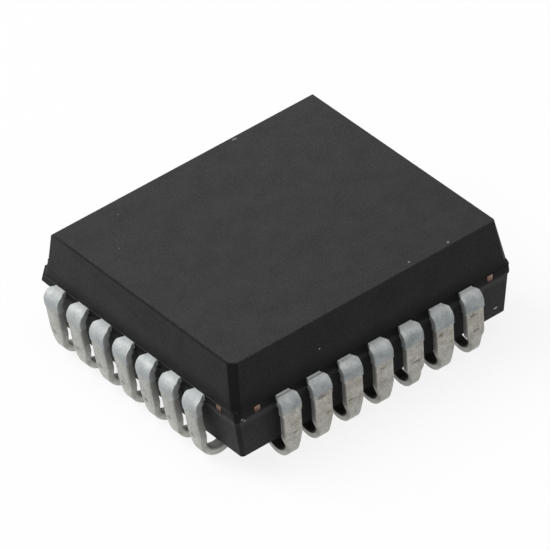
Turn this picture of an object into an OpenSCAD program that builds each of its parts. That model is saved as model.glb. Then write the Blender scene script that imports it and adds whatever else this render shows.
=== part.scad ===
/* Square 28-lead plastic leaded chip carrier.
   The origin is under the middle of the package on the plane it stands on.
   +Z is up and pin 1 is the middle lead of the +Y side. */

/* [Body] */
// Side of the moulded body, measured across the band at lead level
body_w = 11.46; // [11.3:0.01:11.7]
// Height of the body from its underside to its top face
body_h = 3.78; // [3.6:0.02:4.0]
// Clear height under the body
stand_off = 0.73; // [0.6:0.01:0.9]
// Slope of the upper half's sides in degrees
draft_top = 8; // [3:0.5:10]
// Slope of the lower half's sides in degrees
draft_base = 6.5; // [3:0.5:10]
// Length cut from each side at the index corner
index_chamfer = 1.14; // [0.9:0.02:1.22]
// Length cut from each side at the other three upper corners
corner_chamfer = 0.2; // [0.18:0.01:0.3]
// Length to which that cut narrows at the top of the corner between the +X and -Y sides
side_chamfer = 0.06; // [0.04:0.01:0.3]
// Length by which the band's corners are cut less than those of the upper half
band_corner = 0.12; // [0.08:0.01:0.14]
// Length cut from each side at the lower half's corners
base_chamfer = 0.08; // [0.06:0.01:0.14]
// Depth of the 45 degree bevel along the top edge of the pin-1 side
edge_bevel = 1.18; // [0.8:0.02:1.3]
// Height of the upright band above the leads
band_over = 0.06; // [0.04:0.01:0.12]
// Depth of the upright band below the leads
band_under = 0.07; // [0.02:0.01:0.13]
// Step in from the band to the lower half
base_step = 0.03; // [0.01:0.01:0.08]
// Width of the gate flash left on the index corner
gate_w = 0.25; // [0.1:0.01:0.3]
// Thickness of the gate flash
gate_t = 0.1; // [0.06:0.01:0.14]
// Diameter of the ejector pin's mark under the body
ejector_d = 2.2; // [1.6:0.1:3]
// Depth of the ejector pin's mark
ejector_depth = 0.06; // [0.03:0.01:0.12]

/* [Leads] */
// Distance by which the leads stand out from the body wall
lead_reach = 0.495; // [0.46:0.005:0.55]
// Distance from one lead to the next
lead_pitch = 1.27; // [1.2:0.01:1.3]
// Height of a lead's upper face where it leaves the body
lead_exit = 2.68; // [2.55:0.01:2.9]
// Thickness of the leadframe sheet
lead_t = 0.25; // [0.2:0.01:0.3]
// Width of a lead in the body wall
neck_w = 0.54; // [0.4:0.02:0.6]
// Width of the shoulder
shoulder_w = 0.78; // [0.7:0.02:0.82]
// Width of the upright shank
shank_w = 0.7; // [0.5:0.02:0.76]
// Width of the curl at the foot
curl_w = 0.45; // [0.33:0.02:0.53]
// Length over which the neck widens to the shoulder
flare_l = 0.2; // [0.1:0.02:0.3]
// Height of the shoulder, from its upper face down to the step
shoulder_h = 0.65; // [0.5:0.01:0.8]
// Height of the step from the shoulder to the shank
step_h = 0.03; // [0.02:0.01:0.06]
// Height above the seating plane at which the shank starts to narrow
taper_top = 1.03; // [0.9:0.01:1.2]
// Height above the seating plane at which the curl has its full narrowness
taper_end = 0.38; // [0.3:0.01:0.5]
// Outer radius of the shoulder bend
shoulder_r = 0.42; // [0.36:0.01:0.45]
// Outer radius of the curl
curl_r = 0.76; // [0.66:0.01:0.9]
// Angle by which the shank leans in towards the foot
lean = 4.5; // [1:0.5:8]
// Angle of the curl past its lowest point
curl_end = 45; // [20:5:60]

/* [Inside the body] */
// Side of the square die paddle
paddle_w = 5.2; // [4.6:0.1:5.4]
// Depth of the paddle below the lead fingers
paddle_drop = 0.2; // [0.1:0.02:0.3]
// Width of a tie bar
tie_w = 0.35; // [0.25:0.01:0.45]
// Width of a tie bar's end in the body wall
tie_end_w = 0.22; // [0.18:0.01:0.3]
// Distance of a tie bar's end from the body corner
tie_end_at = 0.88; // [0.8:0.01:0.95]
// Distance by which a tie bar's sheared end stands out from the wall
tie_end_out = 0.02; // [0:0.01:0.05]
// Length of the slanting arms that fork a tie bar to two walls
tie_fork_l = 0.62; // [0.5:0.02:0.8]
// Length of a finger's straight part behind the wall
finger_root = 0.6; // [0.4:0.05:0.8]
// Length of a finger's straight tip
finger_tip_l = 0.5; // [0.3:0.05:0.6]
// Gap from the paddle to the tips of the lead fingers
finger_gap = 0.35; // [0.25:0.01:0.5]
// Width of a finger's tip
finger_tip_w = 0.36; // [0.3:0.01:0.42]
// Distance from one finger's tip to the next
finger_pitch = 0.66; // [0.6:0.01:0.7]
// Side of the square die
die_w = 3.4; // [2.8:0.1:3.8]
// Thickness of the die
die_t = 0.36; // [0.25:0.01:0.45]
// Thickness of the layer that bonds the die to the paddle
attach_t = 0.03; // [0.02:0.005:0.05]
// Width of that layer showing round the die
attach_edge = 0.1; // [0.05:0.01:0.2]
// Distance of the bond pads from the die's edge
pad_edge = 0.14; // [0.1:0.01:0.2]
// Distance of a row's end pads from the die's corner
pad_margin = 0.4; // [0.3:0.05:0.6]
// Thickness of a bond wire
wire_d = 0.05; // [0.03:0.005:0.06]
// Height of a wire's loop above the die
wire_rise = 0.22; // [0.18:0.01:0.35]

/* [Hidden] */
per_side = 7;
lead_count = 4 * per_side;
$fn = 64;

// Levels, from the seating plane up
body_base = stand_off;
body_top = stand_off + body_h;
band_base = lead_exit - lead_t - band_under;
band_top = lead_exit + band_over;

// Half widths of the body at those levels
band_half = body_w / 2;
top_in = (body_top - band_top) * tan(draft_top);
top_half = band_half - top_in;
lower_w = band_half - base_step;
base_in = (band_base - body_base) * tan(draft_base);
index_face = cut(band_half, index_chamfer - band_corner);

// Overlap of shapes that join, and run of a cut past the face it opens
lap = 0.05;
through = 0.1;

// Lead: length of the neck out of the wall and length of the straight shank
neck_out = lead_reach - shoulder_r;
shank_l = (lead_exit - curl_r - shoulder_r + (curl_r - shoulder_r) * sin(lean)) / cos(lean);

// Fingers, die and wires
tip_y = paddle_w / 2 + finger_gap;
paddle_top = lead_exit - paddle_drop;
die_base = paddle_top + attach_t;
die_top = die_base + die_t;
attach_w = die_w + 2 * attach_edge;
pad_pitch = (die_w - 2 * pad_margin) / (per_side - 1);

// Tie bars: place of an end along the wall and start of the fork
tie_at = band_half - tie_end_at;
fork_root = tie_at - tie_fork_l;

// Node name, side of the body (0 is +Y, then anticlockwise) and place along that side of lead p
function lead_name(p) = str("lead_", p < 10 ? "0" : "", p);
function lead_side(p) = floor((p + 2) / per_side) % 4;
function lead_place(p) = (p + 2) % per_side - (per_side - 1) / 2;

// Prism with a profile drawn in the X-Z plane
module upright(length) {
    rotate([90, 0, 0])
        linear_extrude(height = length, center = true)
            children();
}

// Profile of the lower half, narrowing downwards and lapping a little way up into the band
module lower_profile(left, right, inward) {
    out = lap * inward / (band_base - body_base);
    polygon([
        [-left + inward, body_base],
        [right - inward, body_base],
        [right + out, band_base + lap],
        [-left - out, band_base + lap]
    ]);
}

// Distance from the centre to a corner cut of the given length
function cut(half, length) = (2 * half - length) / sqrt(2);

// Points up a corner of the upper half: the band, the slope back to the cut, and the cut's upper end
function corner_line(low, top) =
    let (
        b = cut(band_half, low - band_corner),
        c = cut(band_half, low),
        t = cut(top_half, top),
        slope = (c - t) / (body_top - band_top)
    )
    [
        [b, band_base],
        [b, band_top],
        [c - slope * (b - c), band_top + b - c],
        [t, body_top]
    ];

// Profile across two opposite corners
module corner_profile(left, right) {
    polygon(concat(right, [for (n = [3 : -1 : 0]) [-left[n][0], left[n][1]]]));
}

// Upright band at lead level and the sloping upper half, with the bevel on the pin-1 side
module upper_half() {
    bevel_h = edge_bevel / (1 - tan(draft_top));
    bevel_y = top_half - edge_bevel + bevel_h;
    corner = corner_line(corner_chamfer, corner_chamfer);
    intersection() {
        upright(2 * body_w)
            polygon([
                [-band_half, band_base],
                [band_half, band_base],
                [band_half, band_top],
                [top_half, body_top],
                [-top_half, body_top],
                [-band_half, band_top]
            ]);
        rotate([0, 0, 90])
            upright(2 * body_w)
                polygon([
                    [-band_half, band_base],
                    [band_half, band_base],
                    [band_half, band_top],
                    [bevel_y, body_top - bevel_h],
                    [top_half - edge_bevel, body_top],
                    [-top_half, body_top],
                    [-band_half, band_top]
                ]);
        rotate([0, 0, 45])
            upright(2 * body_w)
                corner_profile(corner, corner);
        rotate([0, 0, -45])
            upright(2 * body_w)
                corner_profile(
                    corner_line(index_chamfer, index_chamfer),
                    corner_line(corner_chamfer, side_chamfer)
                );
    }
}

module lower_half() {
    corner = cut(lower_w, base_chamfer);
    index = cut(lower_w, index_chamfer);
    intersection() {
        upright(2 * body_w)
            lower_profile(lower_w, lower_w, base_in);
        rotate([0, 0, 90])
            upright(2 * body_w)
                lower_profile(lower_w, lower_w, base_in);
        rotate([0, 0, 45])
            upright(2 * body_w)
                lower_profile(corner, corner, base_in * sqrt(2));
        rotate([0, 0, -45])
            upright(2 * body_w)
                lower_profile(index, corner, base_in * sqrt(2));
    }
}

// Thin piece of flash on the index corner, snapped off unevenly
module gate_flash() {
    edge = cut(band_half, index_chamfer);
    half = index_chamfer / sqrt(2) - base_step;
    root = edge - 3 * gate_t;
    translate([0, 0, lead_exit - lead_t - 1.1 * gate_t])
        linear_extrude(height = gate_t)
            rotate([0, 0, 135])
                polygon([
                    [root, -half],
                    [root, half],
                    [edge, half],
                    [edge + gate_w, half - gate_w],
                    [edge + gate_w, -half * 0.25],
                    [edge + gate_w * 0.55, -half * 0.35],
                    [edge + gate_w * 0.85, -half + gate_w],
                    [edge, -half]
                ]);
}

// Round mark left by the pin that pushes the package out of its mould
module ejector_mark() {
    translate([0, 0, body_base - through])
        cylinder(d = ejector_d, h = through + ejector_depth);
}

// What the moulding closes round apart from the leads; the tie bars run out through its walls
module die_stack() {
    paddle_solid(tie_end_out + through);
    attach_solid();
    die_solid();
}

module moulding() {
    difference() {
        union() {
            upper_half();
            lower_half();
            gate_flash();
        }
        ejector_mark();
    }
}

module body() {
    color([0.07, 0.07, 0.075])
        difference() {
            difference() {
                difference() {
                    moulding();
                    die_stack();
                }
                for (p = [1 : lead_count])
                    on_side(p)
                        finger(lead_place(p));
            }
            for (p = [1 : lead_count])
                on_side(p)
                    wire(lead_place(p));
        }
}

// Turns a shape drawn for the +Y side to the side of lead p
module on_side(p) {
    rotate([0, 0, 90 * lead_side(p)])
        children();
}

// Flat part of a lead inside the body, from just past the wall in to the die paddle
module finger(k) {
    past = lap / 5;
    x0 = -k * lead_pitch;
    x1 = -k * finger_pitch;
    n = neck_w / 2;
    t = finger_tip_w / 2;
    translate([0, 0, lead_exit - lead_t])
        linear_extrude(height = lead_t)
            polygon([
                [x0 - n, band_half + past],
                [x0 - n, band_half - finger_root],
                [x1 - t, tip_y + finger_tip_l],
                [x1 - t, tip_y],
                [x1 + t, tip_y],
                [x1 + t, tip_y + finger_tip_l],
                [x0 + n, band_half - finger_root],
                [x0 + n, band_half + past]
            ]);
}

// Bend of the sheet about the X axis, from straight out (+Y) up through the given angle
module bend(r, angle) {
    rotate([90, 0, 90])
        rotate_extrude(angle = angle)
            translate([r - lead_t, -shoulder_w])
                square([lead_t, 2 * shoulder_w]);
}

// The J at full sheet width: neck, shoulder bend, then the leaning shank and curl
module j_blank() {
    curl_angle = 90 + curl_end - lean;
    translate([-shoulder_w, -through, lead_exit - lead_t])
        cube([2 * shoulder_w, neck_out + through, lead_t]);
    translate([0, neck_out, lead_exit - shoulder_r])
        rotate([-lean, 0, 0]) {
            bend(shoulder_r, 90 + lean);
            translate([-shoulder_w, shoulder_r - lead_t, -shank_l])
                cube([2 * shoulder_w, lead_t, shank_l]);
            translate([0, shoulder_r - curl_r, -shank_l])
                rotate([-curl_angle, 0, 0])
                    bend(curl_r, curl_angle);
        }
}

// Front view of the lead: X is across it, Y is up from the seating plane
module lead_front() {
    step_z = lead_exit - shoulder_h;
    s = shoulder_w / 2;
    m = shank_w / 2;
    c = curl_w / 2;
    polygon([
        [-c, -curl_r],
        [c, -curl_r],
        [c, taper_end],
        [m, taper_top],
        [m, step_z - step_h],
        [s, step_z],
        [s, lead_exit + curl_r],
        [-s, lead_exit + curl_r],
        [-s, step_z],
        [-m, step_z - step_h],
        [-m, taper_top],
        [-c, taper_end]
    ]);
}

// Slack cut from one side of the shoulder to leave the neck
module neck_cut() {
    flare_end = neck_out + flare_l;
    translate([0, 0, lead_exit - 0.95 * shoulder_r])
        linear_extrude(height = 2 * shoulder_r)
            polygon([
                [neck_w / 2, -shoulder_w],
                [neck_w / 2, neck_out],
                [shoulder_w / 2 + lap / 2, flare_end],
                [shoulder_w, flare_end],
                [shoulder_w, -shoulder_w]
            ]);
}

module j_lead() {
    translate([0, band_half, 0])
        difference() {
            intersection() {
                j_blank();
                upright(8 * curl_r)
                    lead_front();
            }
            neck_cut();
            mirror([1, 0, 0])
                neck_cut();
        }
}

module lead(p) {
    k = lead_place(p);
    color([0.72, 0.73, 0.73])
        on_side(p)
            union() {
                finger(k);
                translate([-k * lead_pitch, 0, 0])
                    j_lead();
            }
}

// One tie bar along the diagonal: flat at finger level, then down to the paddle
module tie_bar(length) {
    start = paddle_w / sqrt(2) - tie_w / 2;
    foot = start + 2 * lead_t;
    top = foot - 0.4 * lead_t;
    ramp = 1.5 * paddle_drop;
    rotate([0, 0, 45])
        upright(tie_w)
            polygon([
                [start, paddle_top - lead_t],
                [foot, paddle_top - lead_t],
                [foot + ramp, lead_exit - lead_t],
                [length, lead_exit - lead_t],
                [length, lead_exit],
                [top + ramp, lead_exit],
                [top, paddle_top],
                [start, paddle_top]
            ]);
}

// Two arms that carry a tie bar to both sides of a body corner, and past the walls if asked
module tie_fork(past) {
    wall = band_half + past;
    e = tie_end_w / 2;
    translate([0, 0, lead_exit - lead_t])
        linear_extrude(height = lead_t)
            polygon([
                [fork_root - e, fork_root - e],
                [tie_at - e, tie_at],
                [tie_at - e, wall],
                [tie_at + e, wall],
                [tie_at + e, tie_at + e],
                [wall, tie_at + e],
                [wall, tie_at - e],
                [tie_at, tie_at - e]
            ]);
}

module paddle_solid(past) {
    translate([-paddle_w / 2, -paddle_w / 2, paddle_top - lead_t])
        cube([paddle_w, paddle_w, lead_t]);
    for (turn = [180, 270, 0])
        rotate([0, 0, turn]) {
            tie_bar(sqrt(2) * (fork_root + tie_fork_l / 2));
            tie_fork(past);
        }
    rotate([0, 0, 90])
        tie_bar(index_face + past);
}

module die_paddle() {
    color([0.72, 0.45, 0.3])
        paddle_solid(tie_end_out);
}

module attach_solid() {
    translate([-attach_w / 2, -attach_w / 2, paddle_top])
        cube([attach_w, attach_w, attach_t]);
}

module die_attach() {
    color([0.6, 0.6, 0.58])
        attach_solid();
}

module die_solid() {
    translate([-die_w / 2, -die_w / 2, die_base])
        cube([die_w, die_w, die_t]);
}

module die() {
    color([0.3, 0.31, 0.36])
        die_solid();
}

// Bond wire k of a side: ball on the die, loop, flattened end on the lead finger
module wire(k) {
    start = [-k * pad_pitch, die_w / 2 - pad_edge];
    end = [-k * finger_pitch, tip_y + finger_tip_w / 2];
    span = norm(end - start);
    d = wire_d;
    crest = die_top + wire_rise;
    translate([start[0], start[1], 0])
        rotate([0, 0, atan2(end[1] - start[1], end[0] - start[0])]) {
            translate([0, 0, die_top])
                cylinder(d = 2.2 * d, h = 0.6 * d);
            upright(d)
                polygon([
                    [-d / 2, die_top],
                    [d / 2, die_top],
                    [d / 2, crest - 1.5 * d],
                    [1.2 * d, crest - d],
                    [0.35 * span, crest - d],
                    [span - 2 * d, lead_exit],
                    [span + 1.6 * d, lead_exit],
                    [span + 1.6 * d, lead_exit + 0.3 * d],
                    [span - d, lead_exit + d],
                    [0.35 * span + 0.4 * d, crest],
                    [0.8 * d, crest],
                    [-d / 2, crest - d]
                ]);
        }
}

module bond_wires() {
    color([0.85, 0.66, 0.25])
        for (p = [1 : lead_count])
            on_side(p)
                wire(lead_place(p));
}

body();
for (p = [1 : lead_count])
    lead(p);
die_paddle();
die_attach();
die();
bond_wires();
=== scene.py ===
import math

import bmesh
import bpy
from mathutils import Matrix, Vector


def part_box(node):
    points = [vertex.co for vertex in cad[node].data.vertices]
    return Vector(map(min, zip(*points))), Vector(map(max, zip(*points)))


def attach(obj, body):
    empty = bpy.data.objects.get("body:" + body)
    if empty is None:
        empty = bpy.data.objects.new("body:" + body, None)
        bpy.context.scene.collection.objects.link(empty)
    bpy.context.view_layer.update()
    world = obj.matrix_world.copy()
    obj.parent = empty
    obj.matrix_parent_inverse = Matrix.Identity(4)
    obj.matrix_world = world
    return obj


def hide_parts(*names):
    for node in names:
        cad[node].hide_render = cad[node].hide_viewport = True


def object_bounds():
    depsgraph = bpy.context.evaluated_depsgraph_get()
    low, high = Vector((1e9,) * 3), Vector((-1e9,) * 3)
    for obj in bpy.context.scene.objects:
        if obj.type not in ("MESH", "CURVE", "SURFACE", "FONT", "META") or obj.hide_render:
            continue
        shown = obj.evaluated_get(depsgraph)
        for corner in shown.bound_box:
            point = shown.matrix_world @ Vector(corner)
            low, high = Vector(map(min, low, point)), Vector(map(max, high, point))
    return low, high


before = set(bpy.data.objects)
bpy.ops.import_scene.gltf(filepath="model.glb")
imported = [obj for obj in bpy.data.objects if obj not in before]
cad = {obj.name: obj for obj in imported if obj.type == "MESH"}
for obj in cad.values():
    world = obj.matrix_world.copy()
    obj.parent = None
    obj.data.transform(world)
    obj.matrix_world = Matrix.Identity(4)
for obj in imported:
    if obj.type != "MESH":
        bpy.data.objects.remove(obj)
cad_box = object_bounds()

# Die paddle and tie bars
# The middle of the stamped copper leadframe: a square plate that carries the die, held by four
# tie bars. The bars' sheared ends show as bare copper marks in the body's walls near the corners.
mm = 0.001
noise_span = (0.3, 0.7)
copper_bright = (0.36, 0.225, 0.15, 1)
copper_dull = (0.12, 0.062, 0.042, 1)
copper_painted_shade = (0.035, 0.015, 0.012, 1)
copper_grain = 0.11 * mm
copper_relief = 0.006 * mm
bar_end_shade_fall = (2.59 * mm, 2.45 * mm)


def finish(name, metallic, roughness, specular=0.5):
    """A node material with its constants set on the shader."""
    material = bpy.data.materials.new(name)
    material.use_nodes = True
    shader = material.node_tree.nodes["Principled BSDF"]
    shader.inputs["Metallic"].default_value = metallic
    shader.inputs["Roughness"].default_value = roughness
    shader.inputs["Specular IOR Level"].default_value = specular
    return material


def node(material, kind, inputs=None, **settings):
    """Adds a shader node; an input is a number, a colour or another node's output."""
    made = material.node_tree.nodes.new("ShaderNode" + kind)
    for key, value in settings.items():
        setattr(made, key, value)
    for key, value in (inputs or {}).items():
        if isinstance(value, bpy.types.NodeSocket):
            material.node_tree.links.new(value, made.inputs[key])
        else:
            made.inputs[key].default_value = value
    return made


def to_shader(material, **outputs):
    """Links outputs to the shader's sockets, named with _ for a space."""
    shader = material.node_tree.nodes["Principled BSDF"]
    for key, value in outputs.items():
        material.node_tree.links.new(value, shader.inputs[key.replace("_", " ")])


def place(material):
    """The point on the piece, in the row frame."""
    return node(material, "TexCoord").outputs["Object"]


def noise(material, at, size, detail=4.0):
    """Noise from 0 to 1 whose largest spots are about the given size."""
    inputs = {"Vector": at, "Scale": 1 / size, "Detail": detail, "Roughness": 0.55}
    return node(material, "TexNoise", inputs).outputs["Fac"]


def ramp(material, value, span, start=0.0, end=1.0):
    """Start up to the span's first value, end from its second, and a soft change between them."""
    inputs = {"Value": value, "From Min": span[0], "From Max": span[1], "To Min": start, "To Max": end}
    return node(material, "MapRange", inputs, interpolation_type="SMOOTHSTEP").outputs["Result"]


def mixed(material, share, tone, layer, way="MIX"):
    """A colour with a share of another one laid over it."""
    made = node(material, "Mix", {0: share, 6: tone, 7: layer}, data_type="RGBA", blend_type=way)
    return made.outputs[2]


def bumped(material, height, depth):
    """Surface normal with relief of the given depth."""
    return node(material, "Bump", {"Height": height, "Distance": depth, "Strength": 1.0}).outputs["Normal"]


def dress(piece, material):
    """Gives a CAD node a material in place of its own."""
    piece.data.materials.clear()
    piece.data.materials.append(material)


copper = finish("sheared_copper", metallic=0.5, roughness=0.55)
copper_at = place(copper)
torn_grain = noise(copper, copper_at, copper_grain)
bar_z = node(copper, "SeparateXYZ", {"Vector": copper_at}).outputs["Z"]
copper_tone = mixed(copper, ramp(copper, torn_grain, noise_span), copper_dull, copper_bright)
# Painted shade: the bar ends darken towards their lower edge
copper_tone = mixed(copper, ramp(copper, bar_z, bar_end_shade_fall), copper_tone, copper_painted_shade)
to_shader(copper, Base_Color=copper_tone)
to_shader(copper, Roughness=ramp(copper, torn_grain, noise_span, start=0.6, end=0.38))
to_shader(copper, Normal=bumped(copper, torn_grain, copper_relief))
dress(cad["die_paddle"], copper)

# Die attach
# A thin cured layer of silver-filled epoxy, dispensed on the paddle and squeezed out
# a little round the die that it holds.
epoxy_dark = (0.34, 0.34, 0.33, 1)
epoxy_light = (0.7, 0.7, 0.67, 1)
flake_size = 0.03 * mm
flake_relief = 0.004 * mm
epoxy = finish("silver_epoxy", metallic=0.35, roughness=0.5)
flakes = noise(epoxy, place(epoxy), flake_size, detail=6.0)
to_shader(epoxy, Base_Color=mixed(epoxy, flakes, epoxy_dark, epoxy_light))
to_shader(epoxy, Normal=bumped(epoxy, flakes, flake_relief))
dress(cad["die_attach"], epoxy)

# Die
# The chip itself, sawn from a polished wafer of silicon: a dark upper face with a faint tint of
# small square cells, and sawn sides. The attach layer glues it to the paddle.
silicon_dark = (0.11, 0.12, 0.17, 1)
silicon_light = (0.24, 0.25, 0.31, 1)
cell_size = 0.12 * mm
cell_span = (0.1, 0.6)
polish_size = 0.2 * mm
silicon = finish("silicon", metallic=0.3, roughness=0.22)
silicon_at = place(silicon)
cells = node(silicon, "TexVoronoi", {"Vector": silicon_at, "Scale": 1 / cell_size}, distance="CHEBYCHEV")
tint = ramp(silicon, cells.outputs["Distance"], cell_span)
polish = noise(silicon, silicon_at, polish_size)
to_shader(silicon, Base_Color=mixed(silicon, tint, silicon_dark, silicon_light))
to_shader(silicon, Roughness=ramp(silicon, polish, noise_span, start=0.16, end=0.3))
dress(cad["die"], silicon)

# Bond wires
# Twenty-eight fine wires of drawn gold, each welded as a ball to the die at one end and flattened
# on a lead finger at the other, before the package is moulded round them.
gold_dark = (0.8, 0.52, 0.16, 1)
gold_light = (1.0, 0.76, 0.34, 1)
gold_grain = 0.02 * mm
gold = finish("drawn_gold", metallic=1.0, roughness=0.3)
drawn_lines = noise(gold, place(gold), gold_grain)
to_shader(gold, Base_Color=mixed(gold, drawn_lines, gold_dark, gold_light))
to_shader(gold, Roughness=ramp(gold, drawn_lines, noise_span, start=0.22, end=0.4))
dress(cad["bond_wires"], gold)

# Leads
# Twenty-eight strips stamped from copper sheet with the paddle, tin plated and bent to a J: a narrow
# neck in the wall, a wide shoulder where the tie between leads was sheared, a shank and a curl.
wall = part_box("body")[1].y
lead_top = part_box("lead_01")[1]
sides = 4
per_side = 7
pitch = 1.27 * mm
sheet = 0.25 * mm
neck_in = 0.1 * mm
neck_w = 0.54 * mm
shoulder_w = 0.78 * mm
burr_w = 0.796 * mm
shank_w = 0.7 * mm
curl_w = 0.43 * mm
flare = 0.2 * mm
shoulder_r = 0.42 * mm
curl_r = 0.76 * mm
lean = math.radians(4.5)
curl_past = math.radians(45)
shoulder_h = 0.65 * mm
step_h = 0.03 * mm
taper_top = 1.03 * mm
taper_end = 0.54 * mm
finger_root = 0.6 * mm
finger_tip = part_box("lead_01")[0].y
finger_tip_l = 0.5 * mm
finger_tip_w = 0.36 * mm
finger_pitch = 0.66 * mm
edge_round = 0.026 * mm
edge_turn = math.radians(35)
lead_smooth = math.radians(20)
flare_rings = 4
shoulder_rings = 9
shank_rings = 4
taper_rings = 3
curl_rings = 18

# Two curls are narrower than the rest
slim_leads = (16, 18)
slim_below = 0.9 * mm
slim_share = 0.8

neck_out = lead_top.y - wall - shoulder_r
shank_l = (lead_top.z - curl_r - shoulder_r + (curl_r - shoulder_r) * math.sin(lean)) / math.cos(lean)
down = Vector((0, -math.sin(lean), -math.cos(lean)))
out = Vector((0, math.cos(lean), -math.sin(lean)))
shoulder_at = Vector((0, wall + neck_out, lead_top.z - shoulder_r))
shank_start = shoulder_at + shoulder_r * out
curl_at = shank_start + shank_l * down - curl_r * out
step_top = lead_top.z - shoulder_h
flare_turn = math.asin(flare / shoulder_r)
to_step = (shank_start.z - step_top) / math.cos(lean)
to_taper = (step_top - step_h - taper_top) / math.cos(lean)
to_curl = shank_l - to_step - step_h - to_taper


def pick(piece, kind, test):
    """Selects, in edit mode, the vertices, edges or faces whose middle passes the test."""
    bpy.ops.mesh.select_mode(type=kind)
    bpy.ops.mesh.select_all(action="DESELECT")
    mesh = bmesh.from_edit_mesh(piece.data)
    for item in {"VERT": mesh.verts, "EDGE": mesh.edges, "FACE": mesh.faces}[kind]:
        points = [item.co] if kind == "VERT" else [v.co for v in item.verts]
        if test(sum(points, Vector()) / len(points)):
            item.select_set(True)
    bmesh.update_edit_mesh(piece.data)


def only(piece):
    """Makes a piece the one selected, active object."""
    bpy.ops.object.select_all(action="DESELECT")
    piece.select_set(True)
    bpy.context.view_layer.objects.active = piece


def modify(piece, kind, **settings):
    """Adds a modifier and applies it."""
    only(piece)
    made = piece.modifiers.new(kind.lower(), kind)
    for key, value in settings.items():
        setattr(made, key, value)
    bpy.ops.object.modifier_apply(modifier=made.name)


def push(*way):
    """Extrudes what is selected by a distance along each axis."""
    bpy.ops.mesh.extrude_region_move(TRANSFORM_OT_translate={"value": way})


def set_width(strip, width):
    """Brings the strip's open end to a width."""
    mesh = bmesh.from_edit_mesh(strip.data)
    now = 2 * max(v.co.x for v in mesh.verts if v.select)
    bpy.ops.transform.resize(value=(width / now, 1, 1), center_override=(0, 0, 0))


def bend_on(strip, centre, turn, rings, width_at):
    """Bends the strip's open end on round a centre, ring by ring, with a width at each ring."""
    for _ in range(rings):
        bpy.ops.mesh.spin(steps=1, angle=turn / rings, center=centre, axis=(1, 0, 0))
        mesh = bmesh.from_edit_mesh(strip.data)
        end = next(v.co for v in mesh.verts if v.select)
        set_width(strip, width_at(end))


def run_down(strip, length, width):
    """Runs the strip's open end straight down the shank to a new width."""
    push(*(length * down))
    set_width(strip, width)


def flared(point):
    """Width of the strip where its neck opens to the shoulder."""
    return neck_w + (shoulder_w - neck_w) * (point.y - wall - neck_out) / flare


def tapered(point):
    """Width of the shank and curl at a height."""
    share = min(1, max(0, (point.z - taper_end) / (taper_top - taper_end)))
    return curl_w + share * (shank_w - curl_w)


bpy.ops.object.select_all(action="DESELECT")
neck_middle = (0, wall + (neck_out - neck_in) / 2, lead_top.z)
bpy.ops.mesh.primitive_plane_add(size=1, location=neck_middle)
strip = bpy.context.object
strip.scale = (neck_w, neck_in + neck_out, 1)
bpy.ops.object.transform_apply(location=True, rotation=True, scale=True)
bpy.ops.object.mode_set(mode="EDIT")
pick(strip, "EDGE", lambda c: c.y > wall + neck_out / 2)
bend_on(strip, shoulder_at, flare_turn, flare_rings, flared)
bend_on(strip, shoulder_at, math.pi / 2 + lean - flare_turn, shoulder_rings, lambda p: shoulder_w)
run_down(strip, to_step - 2 * step_h, shoulder_w)
run_down(strip, 2 * step_h, burr_w)
run_down(strip, step_h, shank_w)
for _ in range(shank_rings):
    run_down(strip, to_taper / shank_rings, shank_w)
for ring in range(1, taper_rings + 1):
    ring_z = taper_top + ring / taper_rings * to_curl * down.z
    run_down(strip, to_curl / taper_rings, tapered(Vector((0, 0, ring_z))))
bend_on(strip, curl_at, math.pi / 2 + curl_past - lean, curl_rings, tapered)
bpy.ops.object.mode_set(mode="OBJECT")


def calc(material, way, a, b=0.0, c=0.0):
    """One sum on one, two or three values, each a number or an output."""
    return node(material, "Math", {0: a, 1: b, 2: c}, operation=way).outputs[0]


def times(material, product, *factors):
    """The product of outputs and numbers."""
    for factor in factors:
        product = calc(material, "MULTIPLY", product, factor)
    return product


def either(material, test, no, yes):
    """One value where the test is 0, and another where it is 1."""
    return node(material, "Mix", {0: test, 2: no, 3: yes}, data_type="FLOAT").outputs[0]


def length_of(material, across, upward):
    """Distance of a point of a plane from the plane's origin."""
    at = node(material, "CombineXYZ", {"X": across, "Y": upward}).outputs[0]
    return node(material, "VectorMath", {0: at}, operation="LENGTH").outputs["Value"]


def laid(material, tone, *layers):
    """A colour with layers laid over it in turn, each a share and a colour."""
    for share, layer in layers:
        tone = mixed(material, share, tone, layer)
    return tone


def mark(material, at, centre, size, ragged=0.5):
    """1 inside a ragged spot of the given half sizes round a point, 0 outside it."""
    tear = 0.6 * min(size)
    rim = (1.2 + ragged, 0.3 + ragged)
    away = node(material, "VectorMath", {0: at, 1: centre}, operation="SUBTRACT").outputs[0]
    shares = node(material, "VectorMath", {0: away, 1: size}, operation="DIVIDE").outputs[0]
    far = node(material, "VectorMath", {0: shares}, operation="LENGTH").outputs["Value"]
    torn = noise(material, at, tear, detail=3.0)
    return ramp(material, calc(material, "MULTIPLY_ADD", torn, 2 * ragged, far), rim)


# Tin plate: where a point lies on its lead, and the plate's own pattern
cloud_size = 0.34 * mm
cloud_span = (0.32, 0.68)
speckle_size = 0.06 * mm
streak_size = 0.07 * mm
streak_draw = (1, 1, 0.2)
tin = finish("tin_plate", metallic=0.3, roughness=0.5)
tin_at = place(tin)
tin_x, tin_y, tin_z = node(tin, "SeparateXYZ", {"Vector": tin_at}).outputs
across_x = calc(tin, "ABSOLUTE", tin_x)
across_y = calc(tin, "ABSOLUTE", tin_y)
stands_out = calc(tin, "MAXIMUM", across_x, across_y)
x_side = calc(tin, "GREATER_THAN", across_x, across_y)
in_lead = calc(tin, "WRAP", either(tin, x_side, tin_x, tin_y), pitch / 2, -pitch / 2)
from_middle = calc(tin, "ABSOLUTE", in_lead)
cloud = noise(tin, tin_at, cloud_size)
cloud_share = ramp(tin, cloud, cloud_span)
speckle = noise(tin, tin_at, speckle_size, detail=5.0)
drawn_out = node(tin, "Mapping", {"Vector": tin_at, "Scale": streak_draw}).outputs[0]
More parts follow.
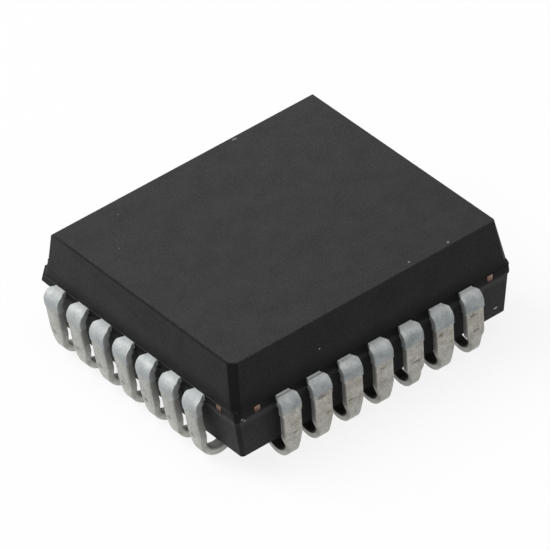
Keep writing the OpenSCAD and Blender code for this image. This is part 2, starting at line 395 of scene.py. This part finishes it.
streak = noise(tin, drawn_out, streak_size, detail=3.0)

# Zones of height; on two leads next to a corner the shoulder's dull skin begins higher up
corner_leads_x = (-1.0 * mm, -1.9 * mm)
corner_leads_y = (-5.6 * mm, -5.7 * mm)
skin_lift = 0.13 * mm
zone_wave = 0.2 * mm
shoulder_rise = (2.06 * mm, 2.2 * mm)
lit_top_rise = (2.45 * mm, 2.78 * mm)
curl_light_fall = (1.25 * mm, 0.75 * mm)
corner_leads = times(tin, ramp(tin, tin_x, corner_leads_x), ramp(tin, tin_y, corner_leads_y))
wavy_z = calc(tin, "MULTIPLY_ADD", cloud, zone_wave, tin_z)
skin_z = calc(tin, "MULTIPLY_ADD", corner_leads, -skin_lift, wavy_z)
shoulder_zone = ramp(tin, skin_z, shoulder_rise)
# Painted light on the shoulder's flat top
lit_top_zone = ramp(tin, wavy_z, lit_top_rise)
# Painted light, growing towards the curl
curl_light_zone = ramp(tin, wavy_z, curl_light_fall, end=0.7)

# The shank's face: warm grey, with painted light towards the curl and at its foot, a painted highlight
# along its edges on the Y sides, and painted tones and shade on the X sides
shank_dark = (0.43, 0.405, 0.35, 1)
shank_light = (0.6, 0.585, 0.535, 1)
# Painted light and shade: the leads of the X sides take their own tones for the light they stand in
shank_x_lit_tone = (0.4, 0.43, 0.41, 1)
shank_streak = (0.34, 0.325, 0.285, 1)
shank_streak_span = (0.5, 0.72)
shank_pit = (0.25, 0.245, 0.22, 1)
shank_pit_span = (0.46, 0.33)
# Painted light towards the curl and at its foot
curl_painted_light = (0.64, 0.64, 0.59, 1)
foot_painted_light = (0.9, 0.9, 0.85, 1)
foot_light_fall = (0.5 * mm, 0.2 * mm)
bright_tin = (0.72, 0.72, 0.69, 1)
bright_span = (0.53, 0.67)
highlight_in = (0.26 * mm, 0.32 * mm)
highlight_out = (0.349 * mm, 0.336 * mm)
x_edge_shade_tone = (0.26, 0.265, 0.25, 1)
x_edge_shade_across = (-0.16 * mm, -0.32 * mm)
x_edge_shade_rise = (1.0 * mm, 1.5 * mm)
# Painted highlight along the shank's edges, on the Y sides only
edge_highlight = times(tin, ramp(tin, from_middle, highlight_in), ramp(tin, from_middle, highlight_out),
               either(tin, x_side, no=0.2, yes=0.0))
# Painted shade along one edge of the X sides' leads, above their lower part
x_edge_shade = times(tin, ramp(tin, in_lead, x_edge_shade_across, end=0.5), x_side, ramp(tin, tin_z, x_edge_shade_rise))
shank_tone = laid(
    tin, mixed(tin, cloud_share, shank_dark, shank_light),
    (either(tin, x_side, no=0.0, yes=0.6), shank_x_lit_tone),
    (curl_light_zone, curl_painted_light),
    (ramp(tin, streak, shank_streak_span, end=0.45), shank_streak),
    (ramp(tin, speckle, bright_span, end=0.6), bright_tin),
    (ramp(tin, speckle, shank_pit_span, end=0.4), shank_pit),
    (ramp(tin, tin_z, foot_light_fall, end=0.8), foot_painted_light),
    (edge_highlight, bright_tin),
    (x_edge_shade, x_edge_shade_tone),
)

# The shoulder: a duller and cooler skin than the shank's, with painted light on its flat top and painted
# tones for the light on the X sides
shoulder_dark = (0.31, 0.345, 0.355, 1)
shoulder_light = (0.4, 0.43, 0.435, 1)
shoulder_x_lit_tone = (0.46, 0.48, 0.47, 1)
shoulder_streak = (0.33, 0.35, 0.36, 1)
shoulder_streak_span = (0.55, 0.75)
shoulder_bright = (0.72, 0.74, 0.73, 1)
shoulder_bright_span = (0.55, 0.7)
shoulder_pit = (0.25, 0.27, 0.27, 1)
shoulder_pit_span = (0.45, 0.32)
# Painted light on the flat top
lit_top_dark = (0.5, 0.525, 0.525, 1)
lit_top_light = (0.6, 0.615, 0.61, 1)
lit_top_x_tone = (0.41, 0.43, 0.43, 1)
# Painted light and shade: the X sides' shoulders and tops take their own tones for the light they stand in
shoulder_x_lit_share = either(tin, x_side, no=0.0, yes=0.5)
lit_top_tone = laid(tin, mixed(tin, cloud_share, lit_top_dark, lit_top_light), (shoulder_x_lit_share, lit_top_x_tone))
shoulder_tone = laid(
    tin, mixed(tin, cloud_share, shoulder_dark, shoulder_light),
    (shoulder_x_lit_share, shoulder_x_lit_tone),
    (lit_top_zone, lit_top_tone),
    (ramp(tin, streak, shoulder_streak_span, end=0.3), shoulder_streak),
    (ramp(tin, speckle, shoulder_bright_span, end=0.35), shoulder_bright),
    (ramp(tin, speckle, shoulder_pit_span, end=0.35), shoulder_pit),
)

# The sheared sides: a duller tone of their own, and painted shade deepening towards the back of the sheet
# and higher up
sheared_dull_and_shade_tone = (0.2, 0.2, 0.185, 1)
side_skin = (-0.014 * mm, -0.001 * mm)
x_side_rise = (1.2 * mm, 1.75 * mm)
y_side_rise = (0.95 * mm, 1.25 * mm)
shear_depth = (0.03 * mm, 0.13 * mm)
shear_fade = (2.0 * mm, 2.1 * mm)
side_half = ramp(tin, tin_z, (step_top - step_h, step_top), start=shank_w / 2, end=shoulder_w / 2)
past_edge = calc(tin, "SUBTRACT", from_middle, side_half)
x_share = ramp(tin, tin_z, x_side_rise, end=0.5)
y_share = ramp(tin, tin_z, y_side_rise, end=0.85)
shank_plane = shank_start.y * math.cos(lean) - shank_start.z * math.sin(lean)
behind_front = calc(tin, "MULTIPLY_ADD", tin_z, math.sin(lean), shank_plane)
behind_front = calc(tin, "MULTIPLY_ADD", stands_out, -math.cos(lean), behind_front)
sheared_dull_and_shade = times(tin, ramp(tin, past_edge, side_skin), either(tin, x_side, y_share, x_share),
                ramp(tin, behind_front, shear_depth, start=0.45, end=1.0),
                ramp(tin, tin_z, shear_fade, start=1.0, end=0.7))

# Painted shade on the curl's inner face, weaker on the X sides
curl_inner_shade_tone = (0.045, 0.042, 0.036, 1)
inner_depth = (curl_r - 0.65 * sheet, curl_r - 0.9 * sheet)
inner_fall = (0.15 * mm, -0.1 * mm)
curl_out = calc(tin, "SUBTRACT", stands_out, curl_at.y)
curl_up = calc(tin, "SUBTRACT", tin_z, curl_at.z)
curl_inner_shade = times(tin, ramp(tin, length_of(tin, curl_out, curl_up), inner_depth),
                   ramp(tin, curl_up, inner_fall), either(tin, x_side, no=1.0, yes=0.4))

# A dark rub on each lead of the X sides, for which the place's Y is 1
rub_tone = (0.14, 0.125, 0.1, 1)
rub_share = 0.6
rub_at = (0.12 * mm, 1, 1.0 * mm)
rub_size = (0.13 * mm, 0.5, 0.1 * mm)
lead_place = node(tin, "CombineXYZ", {"X": in_lead, "Y": x_side, "Z": tin_z}).outputs[0]
tool_rub = times(tin, mark(tin, lead_place, rub_at, rub_size), rub_share)

# A crease across the tops of the leads next to the corner, with painted shade along it
crease_shade_tone = (0.06, 0.06, 0.06, 1)
crease_shade_share = 0.65
crease_at = wall + 0.138 * mm
crease_width = (0.022 * mm, 0.008 * mm)
crease_rise = (2.4 * mm, 2.5 * mm)
from_crease = calc(tin, "ABSOLUTE", calc(tin, "SUBTRACT", stands_out, crease_at))
crease = times(tin, ramp(tin, from_crease, crease_width), corner_leads, ramp(tin, tin_z, crease_rise))

# Brown smears on the leads of the -Y side: place and half sizes in mm
smear_tone = (0.105, 0.082, 0.055, 1)
smear_share = 0.65
smears = (
    ((-2.65, -6.21, 2.06), (0.25, 0.2, 0.11)),
    ((-2.36, -6.15, 1.25), (0.1, 0.2, 0.05)),
    ((-3.77, -6.14, 1.19), (0.14, 0.2, 0.06)),
    ((-3.45, -6.2, 2.06), (0.07, 0.3, 0.09)),
    ((-2.18, -6.2, 2.1), (0.06, 0.3, 0.09)),
    ((-1.45, -6.15, 1.24), (0.17, 0.2, 0.04)),
    ((-0.09, -6.19, 1.8), (0.14, 0.2, 0.03)),
    ((1.3, -6.15, 1.3), (0.2, 0.2, 0.05)),
    ((2.35, -6.19, 1.82), (0.1, 0.2, 0.1)),
    ((3.8, -6.14, 1.2), (0.24, 0.2, 0.045)),
    ((3.7, -6.2, 1.9), (0.2, 0.2, 0.06)),
)
tin_tone = laid(
    tin, mixed(tin, shoulder_zone, shank_tone, shoulder_tone),
    (sheared_dull_and_shade, sheared_dull_and_shade_tone),
    (curl_inner_shade, curl_inner_shade_tone),
    (tool_rub, rub_tone),
)
for centre, size in smears:
    smear = mark(tin, tin_at, Vector(centre) * mm, Vector(size) * mm, ragged=0.7)
    tin_tone = mixed(tin, times(tin, smear, smear_share), tin_tone, smear_tone)
tin_tone = mixed(tin, times(tin, crease, crease_shade_share), tin_tone, crease_shade_tone)

# Relief in shares of the speckle's depth; the crease goes in
tin_relief = 0.008 * mm
streak_relief = 0.8
cloud_relief = 1.5
crease_relief = -3.0
relief = calc(tin, "MULTIPLY_ADD", streak, streak_relief, speckle)
relief = calc(tin, "MULTIPLY_ADD", cloud, cloud_relief, relief)
relief = calc(tin, "MULTIPLY_ADD", crease, crease_relief, relief)
to_shader(tin, Base_Color=tin_tone)
to_shader(tin, Roughness=ramp(tin, cloud, noise_span, start=0.78, end=0.62))
to_shader(tin, Normal=bumped(tin, relief, tin_relief))

# Pin 1 is the middle lead of the +Y side, and the pins count on anticlockwise from above
for pin in range(1, sides * per_side + 1):
    count = pin - 1 + per_side // 2
    side = count // per_side % sides
    place_on_side = count % per_side - (per_side - 1) / 2
    only(strip)
    bpy.ops.object.duplicate()
    lead = bpy.context.object
    lead.name = f"j_lead_{pin:02d}"
    bpy.ops.object.mode_set(mode="EDIT")
    if pin in slim_leads:
        pick(lead, "VERT", lambda c: c.z < slim_below)
        bpy.ops.transform.resize(value=(slim_share, 1, 1), center_override=(0, 0, 0))
    pick(lead, "EDGE", lambda c: c.z > shoulder_at.z and c.y < wall - neck_in / 2)
    push(0, neck_in - finger_root, 0)
    fan_x = place_on_side * (pitch - finger_pitch)
    push(fan_x, finger_tip + finger_tip_l - wall + finger_root, 0)
    bpy.ops.transform.resize(value=(finger_tip_w / neck_w, 1, 1), center_override=(fan_x, 0, 0))
    push(0, -finger_tip_l, 0)
    bpy.ops.mesh.select_all(action="SELECT")
    bpy.ops.mesh.normals_make_consistent(inside=False)
    bpy.ops.object.mode_set(mode="OBJECT")
    modify(lead, "SOLIDIFY", thickness=sheet, offset=-1, use_even_offset=True)
    modify(lead, "BEVEL", width=edge_round, segments=3, limit_method="ANGLE", angle_limit=edge_turn)
    bpy.ops.object.shade_smooth_by_angle(angle=lead_smooth)
    lead.location.x = -place_on_side * pitch
    bpy.ops.object.transform_apply(location=True, rotation=True, scale=True)
    lead.rotation_euler.z = side * math.pi / 2
    bpy.ops.object.transform_apply(location=True, rotation=True, scale=True)
    lead.data.materials.append(tin)
    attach(lead, "root")
    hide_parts(f"lead_{pin:02d}")
bpy.data.objects.remove(strip)

# Body
# The package moulded round the leadframe in filled black epoxy, in two drafted halves that meet in an
# upright band at the leads. One top edge is bevelled and one corner cut to show pin 1.
low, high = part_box("body")
band_low = lead_top.z - sheet - 0.07 * mm
band_high = lead_top.z + 0.06 * mm
top_draft = math.radians(8)
base_draft = math.radians(6.5)
index_cut = 1.14 * mm
corner_cut = 0.2 * mm
side_cut = 0.06 * mm
band_corner = 0.12 * mm
base_cut = 0.08 * mm
top_bevel = 1.18 * mm
base_step = 0.03 * mm
gate_w = 0.25 * mm
gate_t = 0.1 * mm
gate_drop = 1.1 * gate_t
ejector_d = 2.2 * mm
ejector_depth = 0.06 * mm
top_round = 0.042 * mm
base_round = 0.03 * mm
lip = 0.01 * mm
lip_half = 0.6 * lip
weld = 0.002 * mm
fine_weld = 0.0005 * mm
cut_reach = 0.00001 * mm
blank_w = 3 * wall
near = 0.001 * mm
flat_turn = math.radians(0.5)
body_smooth = math.radians(30)

# Corners in turn from +X +Y: the cut at the band's top and at the top face, and the lower half's cut
index_corner = 1
front_corner = 2
cuts = [(corner_cut, corner_cut), (index_cut, index_cut), (corner_cut, corner_cut), (corner_cut, side_cut)]
base_cuts = [index_cut if n == index_corner else base_cut for n in range(sides)]


def cut_face(turn, distance, height, draft):
    """Cuts off what lies outside a sloping face, given by its distance from the axis at a height."""
    facing = Vector((math.cos(turn), math.sin(turn), 0))
    point = distance * facing + Vector((0, 0, height))
    normal = math.cos(draft) * facing + Vector((0, 0, math.sin(draft)))
    bpy.ops.mesh.select_all(action="SELECT")
    bpy.ops.mesh.bisect(
        plane_co=point, plane_no=normal, use_fill=True, clear_outer=True, threshold=cut_reach)


def corner_distance(half, cut):
    """Distance of a corner cut from the axis."""
    return (2 * half - cut) / math.sqrt(2)


def add_layer(name, half, bottom, top, draft, corners):
    """A square layer of the moulding; a corner is its cut's distance at the bottom, and its slope."""
    bpy.ops.object.select_all(action="DESELECT")
    bpy.ops.mesh.primitive_cube_add(size=1, location=(0, 0, (bottom + top) / 2))
    layer = bpy.context.object
    layer.name = name
    layer.scale = (blank_w, blank_w, top - bottom)
    bpy.ops.object.transform_apply(location=True, rotation=True, scale=True)
    bpy.ops.object.mode_set(mode="EDIT")
    for n in range(sides):
        cut_face(n * math.pi / 2, half, bottom, draft)
    for n, (distance, slope) in enumerate(corners):
        cut_face(math.pi / 4 + n * math.pi / 2, distance, bottom, slope)
    bpy.ops.object.mode_set(mode="OBJECT")
    return layer


# The upper half, with its bevel on the pin 1 side
ledge = band_corner / math.sqrt(2)
ledge_top = band_high + ledge
ledge_half = wall - ledge * math.tan(top_draft)
top_half = wall - (high.z - band_high) * math.tan(top_draft)
in_corners = []
for at_band, at_top in cuts:
    drop = corner_distance(wall, at_band) - corner_distance(top_half, at_top)
    slope = math.atan(drop / (high.z - band_high))
    in_corners.append((corner_distance(wall, at_band) - ledge * math.tan(slope), slope))
body = add_layer("moulded_body", ledge_half, ledge_top, high.z, top_draft, in_corners)
bpy.ops.object.mode_set(mode="EDIT")
cut_face(math.pi / 2, top_half - top_bevel, high.z, math.pi / 4)
bpy.ops.object.mode_set(mode="OBJECT")

# The steps over the band's corners, the band and the lower half
band_corners = [corner_distance(wall, at_band - band_corner) for at_band, at_top in cuts]
base_half = wall - base_step - (band_low - low.z) * math.tan(base_draft)
base_slope = -math.atan(math.tan(base_draft) * math.sqrt(2))
base_corners = [(corner_distance(base_half, cut), base_slope) for cut in base_cuts]
layers = [
    add_layer("ledge", wall, band_high, ledge_top, top_draft, [(d, math.pi / 4) for d in band_corners]),
    add_layer("band", wall, band_low, band_high, 0, [(d, 0) for d in band_corners]),
    add_layer("lower_half", base_half, low.z, band_low, -base_draft, base_corners),
]

# The gate's thin flash at the index corner: its snapped edge in shares of its half length and its reach
snapped = [(-1, 0), (-0.68, 0.85), (-0.35, 0.55), (-0.25, 1), (0.68, 1), (1, 0)]
gate_parts = len(snapped) - 1
gate_at = corner_distance(wall, index_cut)
gate_half = index_cut / math.sqrt(2) - base_step
bpy.ops.object.select_all(action="DESELECT")
bpy.ops.mesh.primitive_grid_add(x_subdivisions=1, y_subdivisions=gate_parts, size=1)
gate = bpy.context.object
gate.scale = (gate_at - wall, 2 * gate_half, 1)
gate.location = ((gate_at + wall) / 2, 0, lead_top.z - sheet - gate_drop)
bpy.ops.object.transform_apply(location=True, rotation=True, scale=True)
bpy.ops.object.mode_set(mode="EDIT")
for n, (share, reach) in enumerate(snapped):
    now = (2 * n / gate_parts - 1) * gate_half
    pick(gate, "VERT", lambda c: c.x > gate_at - near and abs(c.y - now) < near)
    bpy.ops.transform.translate(value=(reach * gate_w, share * gate_half - now, 0))
bpy.ops.mesh.select_all(action="SELECT")
push(0, 0, gate_t)
bpy.ops.mesh.select_all(action="SELECT")
bpy.ops.mesh.normals_make_consistent(inside=False)
bpy.ops.object.mode_set(mode="OBJECT")
gate.rotation_euler.z = math.pi / 4 + index_corner * math.pi / 2
bpy.ops.object.transform_apply(location=True, rotation=True, scale=True)
layers.append(gate)

# Joined, with the ejector's round mark underneath, rounded edges, and a lip on the mould's parting line
for layer in layers:
    modify(body, "BOOLEAN", operation="UNION", object=layer, solver="EXACT")
    bpy.data.objects.remove(layer)
bpy.ops.object.select_all(action="DESELECT")
bpy.ops.mesh.primitive_cylinder_add(
    vertices=64, radius=ejector_d / 2, depth=2 * ejector_depth, location=(0, 0, low.z))
ejector = bpy.context.object
bpy.ops.object.transform_apply(location=True, rotation=True, scale=True)
modify(body, "BOOLEAN", operation="DIFFERENCE", object=ejector, solver="EXACT")
bpy.data.objects.remove(ejector)
only(body)
bpy.ops.object.mode_set(mode="EDIT")
bpy.ops.mesh.select_all(action="SELECT")
bpy.ops.mesh.remove_doubles(threshold=weld)
bpy.ops.mesh.dissolve_limited(angle_limit=flat_turn)
pick(body, "EDGE", lambda c: c.z > ledge_top + ledge)
bpy.ops.mesh.bevel(offset=top_round, segments=3, affect="EDGES", clamp_overlap=True)
pick(body, "EDGE", lambda c: c.z < band_low - base_round and c.xy.length > ejector_d)
bpy.ops.mesh.bevel(offset=base_round, segments=3, affect="EDGES", clamp_overlap=True)
bpy.ops.mesh.select_all(action="SELECT")
bpy.ops.mesh.remove_doubles(threshold=fine_weld)
for lip_edge in (lead_top.z - lip_half, lead_top.z + lip_half):
    bpy.ops.mesh.select_all(action="SELECT")
    bpy.ops.mesh.bisect(plane_co=(0, 0, lip_edge), plane_no=(0, 0, 1), threshold=cut_reach)
pick(body, "FACE", lambda c: abs(c.z - lead_top.z) < lip_half)
push(0, 0, 0)
bpy.ops.transform.resize(value=(1 + lip / wall, 1 + lip / wall, 1), center_override=(0, 0, 0))
bpy.ops.object.mode_set(mode="OBJECT")
bpy.ops.object.shade_smooth_by_angle(angle=body_smooth)

# Mould compound: black, a little mottled, with grains of the filler, and painted shade on its upper walls,
# more on the -Y wall
mould_dark = (0.0265, 0.0265, 0.0273, 1)
mould_light = (0.033, 0.033, 0.034, 1)
grain_tone = (0.075, 0.075, 0.075, 1)
upper_wall_shade = (0.84, 0.84, 0.84, 1)
front_wall_shade = (0.9, 0.9, 0.91, 1)
grain_size = 0.05 * mm
grain_span = (0.35, 0.75)
mottle_size = 0.9 * mm
upper_wall_top = (4.5 * mm, 4.44 * mm)
upper_wall_foot = (2.3 * mm, 2.6 * mm)
front_wall_y = (-5.2 * mm, -5.4 * mm)
compound = finish("mould_compound", metallic=0.0, roughness=0.55, specular=0.06)
mould_at = place(compound)
mould_x, mould_y, mould_z = node(compound, "SeparateXYZ", {"Vector": mould_at}).outputs
grain = noise(compound, mould_at, grain_size, detail=3.0)
mottle = noise(compound, mould_at, mottle_size)
upper_wall = times(compound, ramp(compound, mould_z, upper_wall_top),
                   ramp(compound, mould_z, upper_wall_foot))
front_wall = times(compound, upper_wall, ramp(compound, mould_y, front_wall_y))
mould_tone = mixed(compound, ramp(compound, mottle, noise_span), mould_dark, mould_light)
mould_tone = mixed(compound, ramp(compound, grain, grain_span, end=0.35), mould_tone, grain_tone)
# Painted shade on the upper walls, deeper on the -Y wall
mould_tone = mixed(compound, upper_wall, mould_tone, upper_wall_shade, "MULTIPLY")
mould_tone = mixed(compound, front_wall, mould_tone, front_wall_shade, "MULTIPLY")

# Painted shade on the walls round the leads, a painted band of light under them, and a painted highlight
# on the parting line of the -X wall
lead_wall_shade_tone = (0.0125, 0.0125, 0.013, 1)
lead_wall_shade_share = 0.8
ledge_light_tone = (0.12, 0.12, 0.118, 1)
ledge_light_share = 0.3
parting_highlight_tone = (0.09, 0.09, 0.09, 1)
ragged_rise = 0.16 * mm
lead_wall_shade_top = (3.45 * mm, 2.85 * mm)
lead_wall_shade_foot = (2.45 * mm, 2.58 * mm)
ledge_light_top = (2.5 * mm, 2.38 * mm)
ledge_light_foot = (2.1 * mm, 2.35 * mm)
line_width = (0.018 * mm, 0.006 * mm)
line_patches = (0.3, 0.6)
line_wall_x = (-5.5 * mm, -5.7 * mm)
ragged_z = calc(compound, "MULTIPLY_ADD", mottle, ragged_rise, mould_z)
# Painted shade on the walls at and above the leads
lead_wall_shade = times(compound, ramp(compound, ragged_z, lead_wall_shade_top),
              ramp(compound, ragged_z, lead_wall_shade_foot), lead_wall_shade_share)
# Painted light: a lighter band on the lower half's top, under the leads
ledge_light = times(compound, ramp(compound, ragged_z, ledge_light_top),
              ramp(compound, ragged_z, ledge_light_foot), ledge_light_share)
# Painted highlight: a light line along the parting line, on the -X wall only
from_line = calc(compound, "ABSOLUTE", calc(compound, "SUBTRACT", mould_z, lead_top.z))
parting_line_highlight = times(compound, ramp(compound, from_line, line_width), ramp(compound, mould_x, line_wall_x),
                     ramp(compound, mottle, line_patches, start=0.3, end=0.9))

# Painted shade: a dark ragged line along the top's -X edge
edge_shade_tone = (0.008, 0.008, 0.0085, 1)
edge_tear = 0.25 * mm
edge_ragged = 0.1 * mm
edge_width = (0.14 * mm, 0.06 * mm)
edge_fade_y = (4.8 * mm, 3.0 * mm)
edge_x = calc(compound, "ADD", mould_x, top_half)
edge_z = calc(compound, "SUBTRACT", mould_z, high.z)
from_edge = length_of(compound, edge_x, edge_z)
from_edge = calc(compound, "MULTIPLY_ADD", noise(compound, mould_at, edge_tear), edge_ragged, from_edge)
edge_shade_line = times(compound, ramp(compound, from_edge, edge_width),
                  ramp(compound, mould_y, edge_fade_y, start=0.2, end=0.85))
mould_tone = laid(
    compound, mould_tone,
    (lead_wall_shade, lead_wall_shade_tone),
    (ledge_light, ledge_light_tone),
    (parting_line_highlight, parting_highlight_tone),
    (edge_shade_line, edge_shade_tone),
)

# Painted shade on the front corner's cuts, below the band and above it
cut_skin = (-0.07 * mm, -0.01 * mm)
lower_fall = (2.4 * mm, 2.3 * mm)
upper_rise = (2.3 * mm, 2.4 * mm)
lower_share = ramp(compound, mould_z, lower_fall, end=0.6)
upper_share = ramp(compound, mould_z, upper_rise, end=0.85)
to_front = calc(compound, "MULTIPLY", calc(compound, "ADD", mould_x, mould_y), -math.sqrt(0.5))
for (distance, slope), bottom, share in (
    (base_corners[front_corner], low.z, lower_share),
    (in_corners[front_corner], ledge_top, upper_share),
):
    cut_at = calc(compound, "MULTIPLY_ADD", mould_z, -math.tan(slope), distance + bottom * math.tan(slope))
    on_cut = ramp(compound, calc(compound, "SUBTRACT", to_front, cut_at), cut_skin)
    mould_tone = mixed(compound, times(compound, on_cut, share), mould_tone, edge_shade_tone)

# Pale flecks, a little warm: place and half sizes in mm, and lightness
fleck_blue = 0.96
flecks = (
    ((3.62, -5.32, 4.51), (0.05, 0.05, 0.05), 0.26),
    ((2.04, -5.25, 4.51), (0.045, 0.045, 0.05), 0.26),
    ((-3.24, 3.62, 4.51), (0.035, 0.035, 0.05), 0.14),
    ((-4.33, 2.11, 4.51), (0.03, 0.03, 0.05), 0.14),
    ((2.05, 4.17, 4.51), (0.12, 0.04, 0.05), 0.26),
    ((-2.1, -5.63, 3.43), (0.04, 0.1, 0.04), 0.3),
    ((5.09, -5.55, 1.08), (0.09, 0.1, 0.045), 0.6),
    ((-5.47, -5.73, 2.43), (0.05, 0.1, 0.045), 0.35),
    ((-5.36, -5.7, 2.32), (0.055, 0.1, 0.04), 0.5),
)
for centre, size, light in flecks:
    fleck = mark(compound, mould_at, Vector(centre) * mm, Vector(size) * mm, ragged=0.4)
    mould_tone = mixed(compound, fleck, mould_tone, (light, light, fleck_blue * light, 1))

# Relief in shares of the grain's depth
mould_relief = 0.006 * mm
mottle_relief = 2.0
mould_height = calc(compound, "MULTIPLY_ADD", mottle, mottle_relief, grain)
to_shader(compound, Base_Color=mould_tone)
to_shader(compound, Roughness=ramp(compound, grain, noise_span, start=0.6, end=0.48))
to_shader(compound, Normal=bumped(compound, mould_height, mould_relief))
body.data.materials.append(compound)
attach(body, "root")
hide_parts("body")

# Floor, light and camera
# A white paper sweep in a white tent, under a soft lamp from the upper left and one from above,
# seen from the photograph's height through a long lens.
floor_w = 4.0
paper_bounce = (0.7, 0.7, 0.7, 1)
paper_seen = (0.12, 0.12, 0.12, 1)
paper_glow = 0.86
tent_light = 0.25
tent_seen = 1.0
bpy.ops.object.select_all(action="DESELECT")
bpy.ops.mesh.primitive_plane_add(size=floor_w, location=(0, 0, cad_box[0].z))
floor = bpy.context.object
floor.name = "floor"


def seen_directly(tree):
    """1 for rays from the camera, mirrored or passed on to it, and 0 for light that is scattered."""
    path = tree.nodes.new("ShaderNodeLightPath")
    seen = path.outputs["Is Camera Ray"]
    for name in ("Is Glossy Ray", "Is Transmission Ray"):
        most = tree.nodes.new("ShaderNodeMath")
        most.operation = "MAXIMUM"
        tree.links.new(seen, most.inputs[0])
        tree.links.new(path.outputs[name], most.inputs[1])
        seen = most.outputs[0]
    return seen


paper = finish("white_paper", metallic=0.0, roughness=0.9, specular=0.0)
paper.node_tree.nodes["Principled BSDF"].inputs["Emission Color"].default_value = (1, 1, 1, 1)
floor_seen = seen_directly(paper.node_tree)
to_shader(paper, Base_Color=mixed(paper, floor_seen, paper_bounce, paper_seen))
to_shader(paper, Emission_Strength=calc(paper, "MULTIPLY", floor_seen, paper_glow))
floor.data.materials.append(paper)

tent = bpy.data.worlds.new("white_tent")
bpy.context.scene.world = tent
tent.use_nodes = True
sky = tent.node_tree.nodes["Background"]
sky.inputs["Color"].default_value = (1, 1, 1, 1)
level = tent.node_tree.nodes.new("ShaderNodeMapRange")
level.inputs["To Min"].default_value = tent_light
level.inputs["To Max"].default_value = tent_seen
tent.node_tree.links.new(seen_directly(tent.node_tree), level.inputs["Value"])
tent.node_tree.links.new(level.outputs["Result"], sky.inputs["Strength"])


def add_lamp(name, direction, distance, size, power):
    """A square soft lamp that looks at the part."""
    lamp = bpy.data.lights.new(name, "AREA")
    lamp.size = size
    lamp.energy = power
    held = bpy.data.objects.new(name, lamp)
    bpy.context.scene.collection.objects.link(held)
    toward = Vector(direction).normalized()
    held.location = toward * distance
    held.rotation_euler = toward.to_track_quat("Z", "Y").to_euler()


add_lamp("key_lamp", direction=(-0.4, 0.46, 0.79), distance=0.5, size=0.3, power=1.75)
add_lamp("top_lamp", direction=(0.0, 0.0, 1.0), distance=0.5, size=0.4, power=1.05)

# The camera as fitted to the photograph: its turn, its distance, its scale at the part, and the pixel
# on which the part's axis falls at the height of the leads' tops
azimuth = math.radians(-33.45)
elevation = math.radians(37.44)
roll = math.radians(-6.94)
stand_back = 253.9 * mm
photo_px = 550
px_per_mm = 30.215
axis_px = Vector((267.2, 263.2))
ahead = Vector((-math.sin(azimuth), math.cos(azimuth), 0))
right = Vector((math.cos(azimuth), math.sin(azimuth), 0))
up = math.sin(elevation) * ahead + Vector((0, 0, math.cos(elevation)))
back = right.cross(up)
across = math.cos(roll) * right + math.sin(roll) * up
upward = math.cos(roll) * up - math.sin(roll) * right
offset = (Vector((photo_px / 2, photo_px / 2)) - axis_px) / px_per_mm * mm
aim = Vector((0, 0, lead_top.z)) + offset.x * across - offset.y * upward
turned = Matrix((across, upward, back)).transposed().to_4x4()
lens = bpy.data.cameras.new("camera")
lens.sensor_width = 36
lens.lens = lens.sensor_width * px_per_mm * stand_back / mm / photo_px
lens.clip_start = 0.01
camera = bpy.data.objects.new("camera", lens)
bpy.context.scene.collection.objects.link(camera)
camera.matrix_world = Matrix.Translation(aim + stand_back * back) @ turned
bpy.context.scene.camera = camera
bpy.context.scene.view_settings.view_transform = "Standard"
